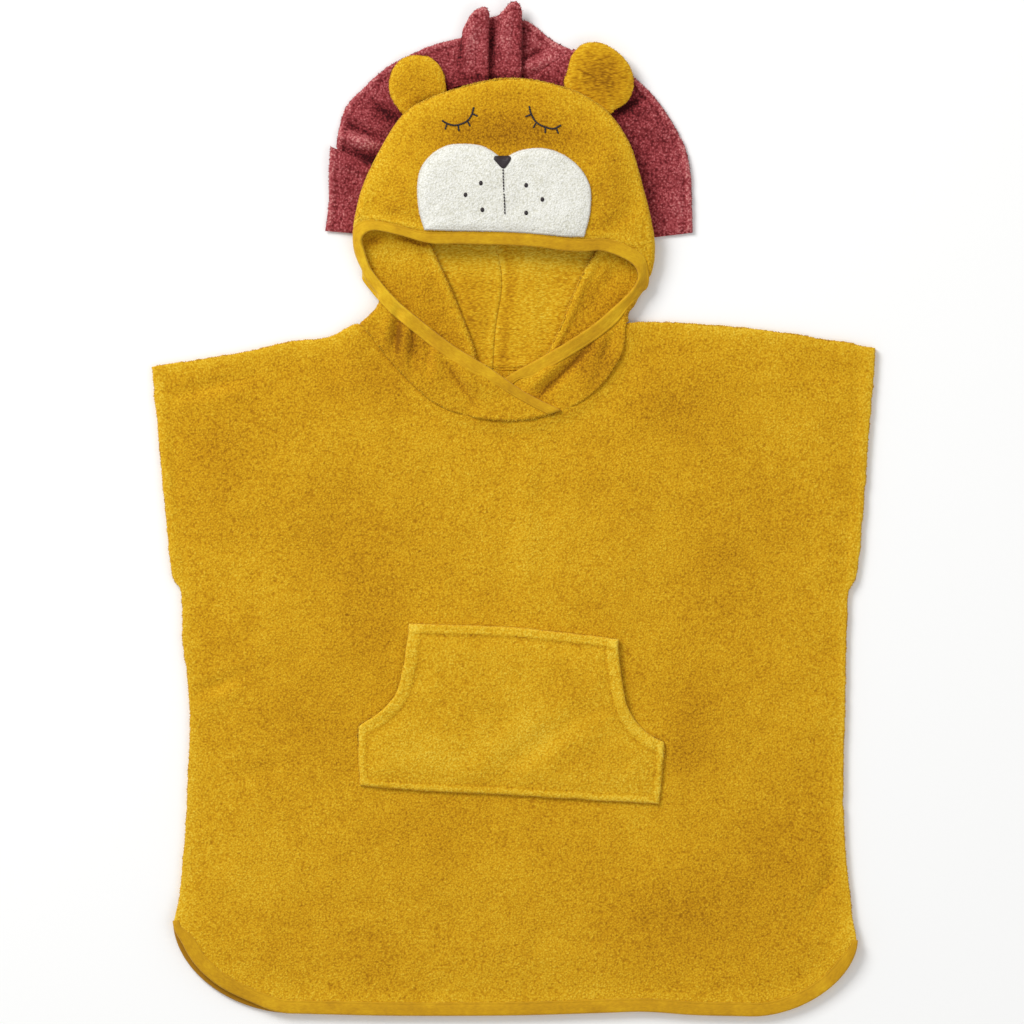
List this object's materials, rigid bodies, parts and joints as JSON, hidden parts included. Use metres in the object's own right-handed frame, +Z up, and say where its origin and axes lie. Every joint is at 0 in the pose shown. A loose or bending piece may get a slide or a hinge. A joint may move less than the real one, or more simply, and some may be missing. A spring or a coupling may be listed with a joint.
{
  "type": "hooded bath poncho",
  "caption": "Child's terry bath poncho laid flat, its hood's brow carrying a lion face with a muzzle, round ears and a pleated mane, with a front pocket and a bound hem.",
  "frame": {"origin": "centre of the bounding box at its lowest level, which is the surface the poncho lies on", "axes": "+Y along the garment from its hem to the top of its hood, +X across it towards the right sleeve as seen from above, +Z up out of the surface, through the cloth's layers"},
  "size_m": [0.6208, 0.8708, 0.0278],
  "materials": {
    "terry_mustard": "mustard yellow cotton terry, looped pile, matte",
    "tape_mustard": "mustard yellow folded cotton binding tape, matte",
    "terry_red": "brick red cotton terry, looped pile, matte",
    "terry_white": "off-white cotton terry, looped pile, matte",
    "thread_black": "near-black satin-stitched embroidery thread"
  },
  "bodies": {
    "root": {"body_back": "terry_mustard", "body_front": "terry_mustard", "hem_binding_back": "tape_mustard", "hem_binding_front": "tape_mustard", "pocket": "terry_mustard", "hood_back_left": "terry_mustard", "hood_back_right": "terry_mustard", "hood_front": "terry_mustard", "hood_binding": "tape_mustard", "mane_flap": "terry_red", "mane_left": "terry_red", "mane_pleat_left": "terry_red", "mane_pleat_right": "terry_red", "mane_crown": "terry_red", "mane_right": "terry_red", "ear_left": "terry_mustard", "ear_right": "terry_mustard", "muzzle": "terry_white", "nose": "thread_black"}
  },
  "joints": []
}
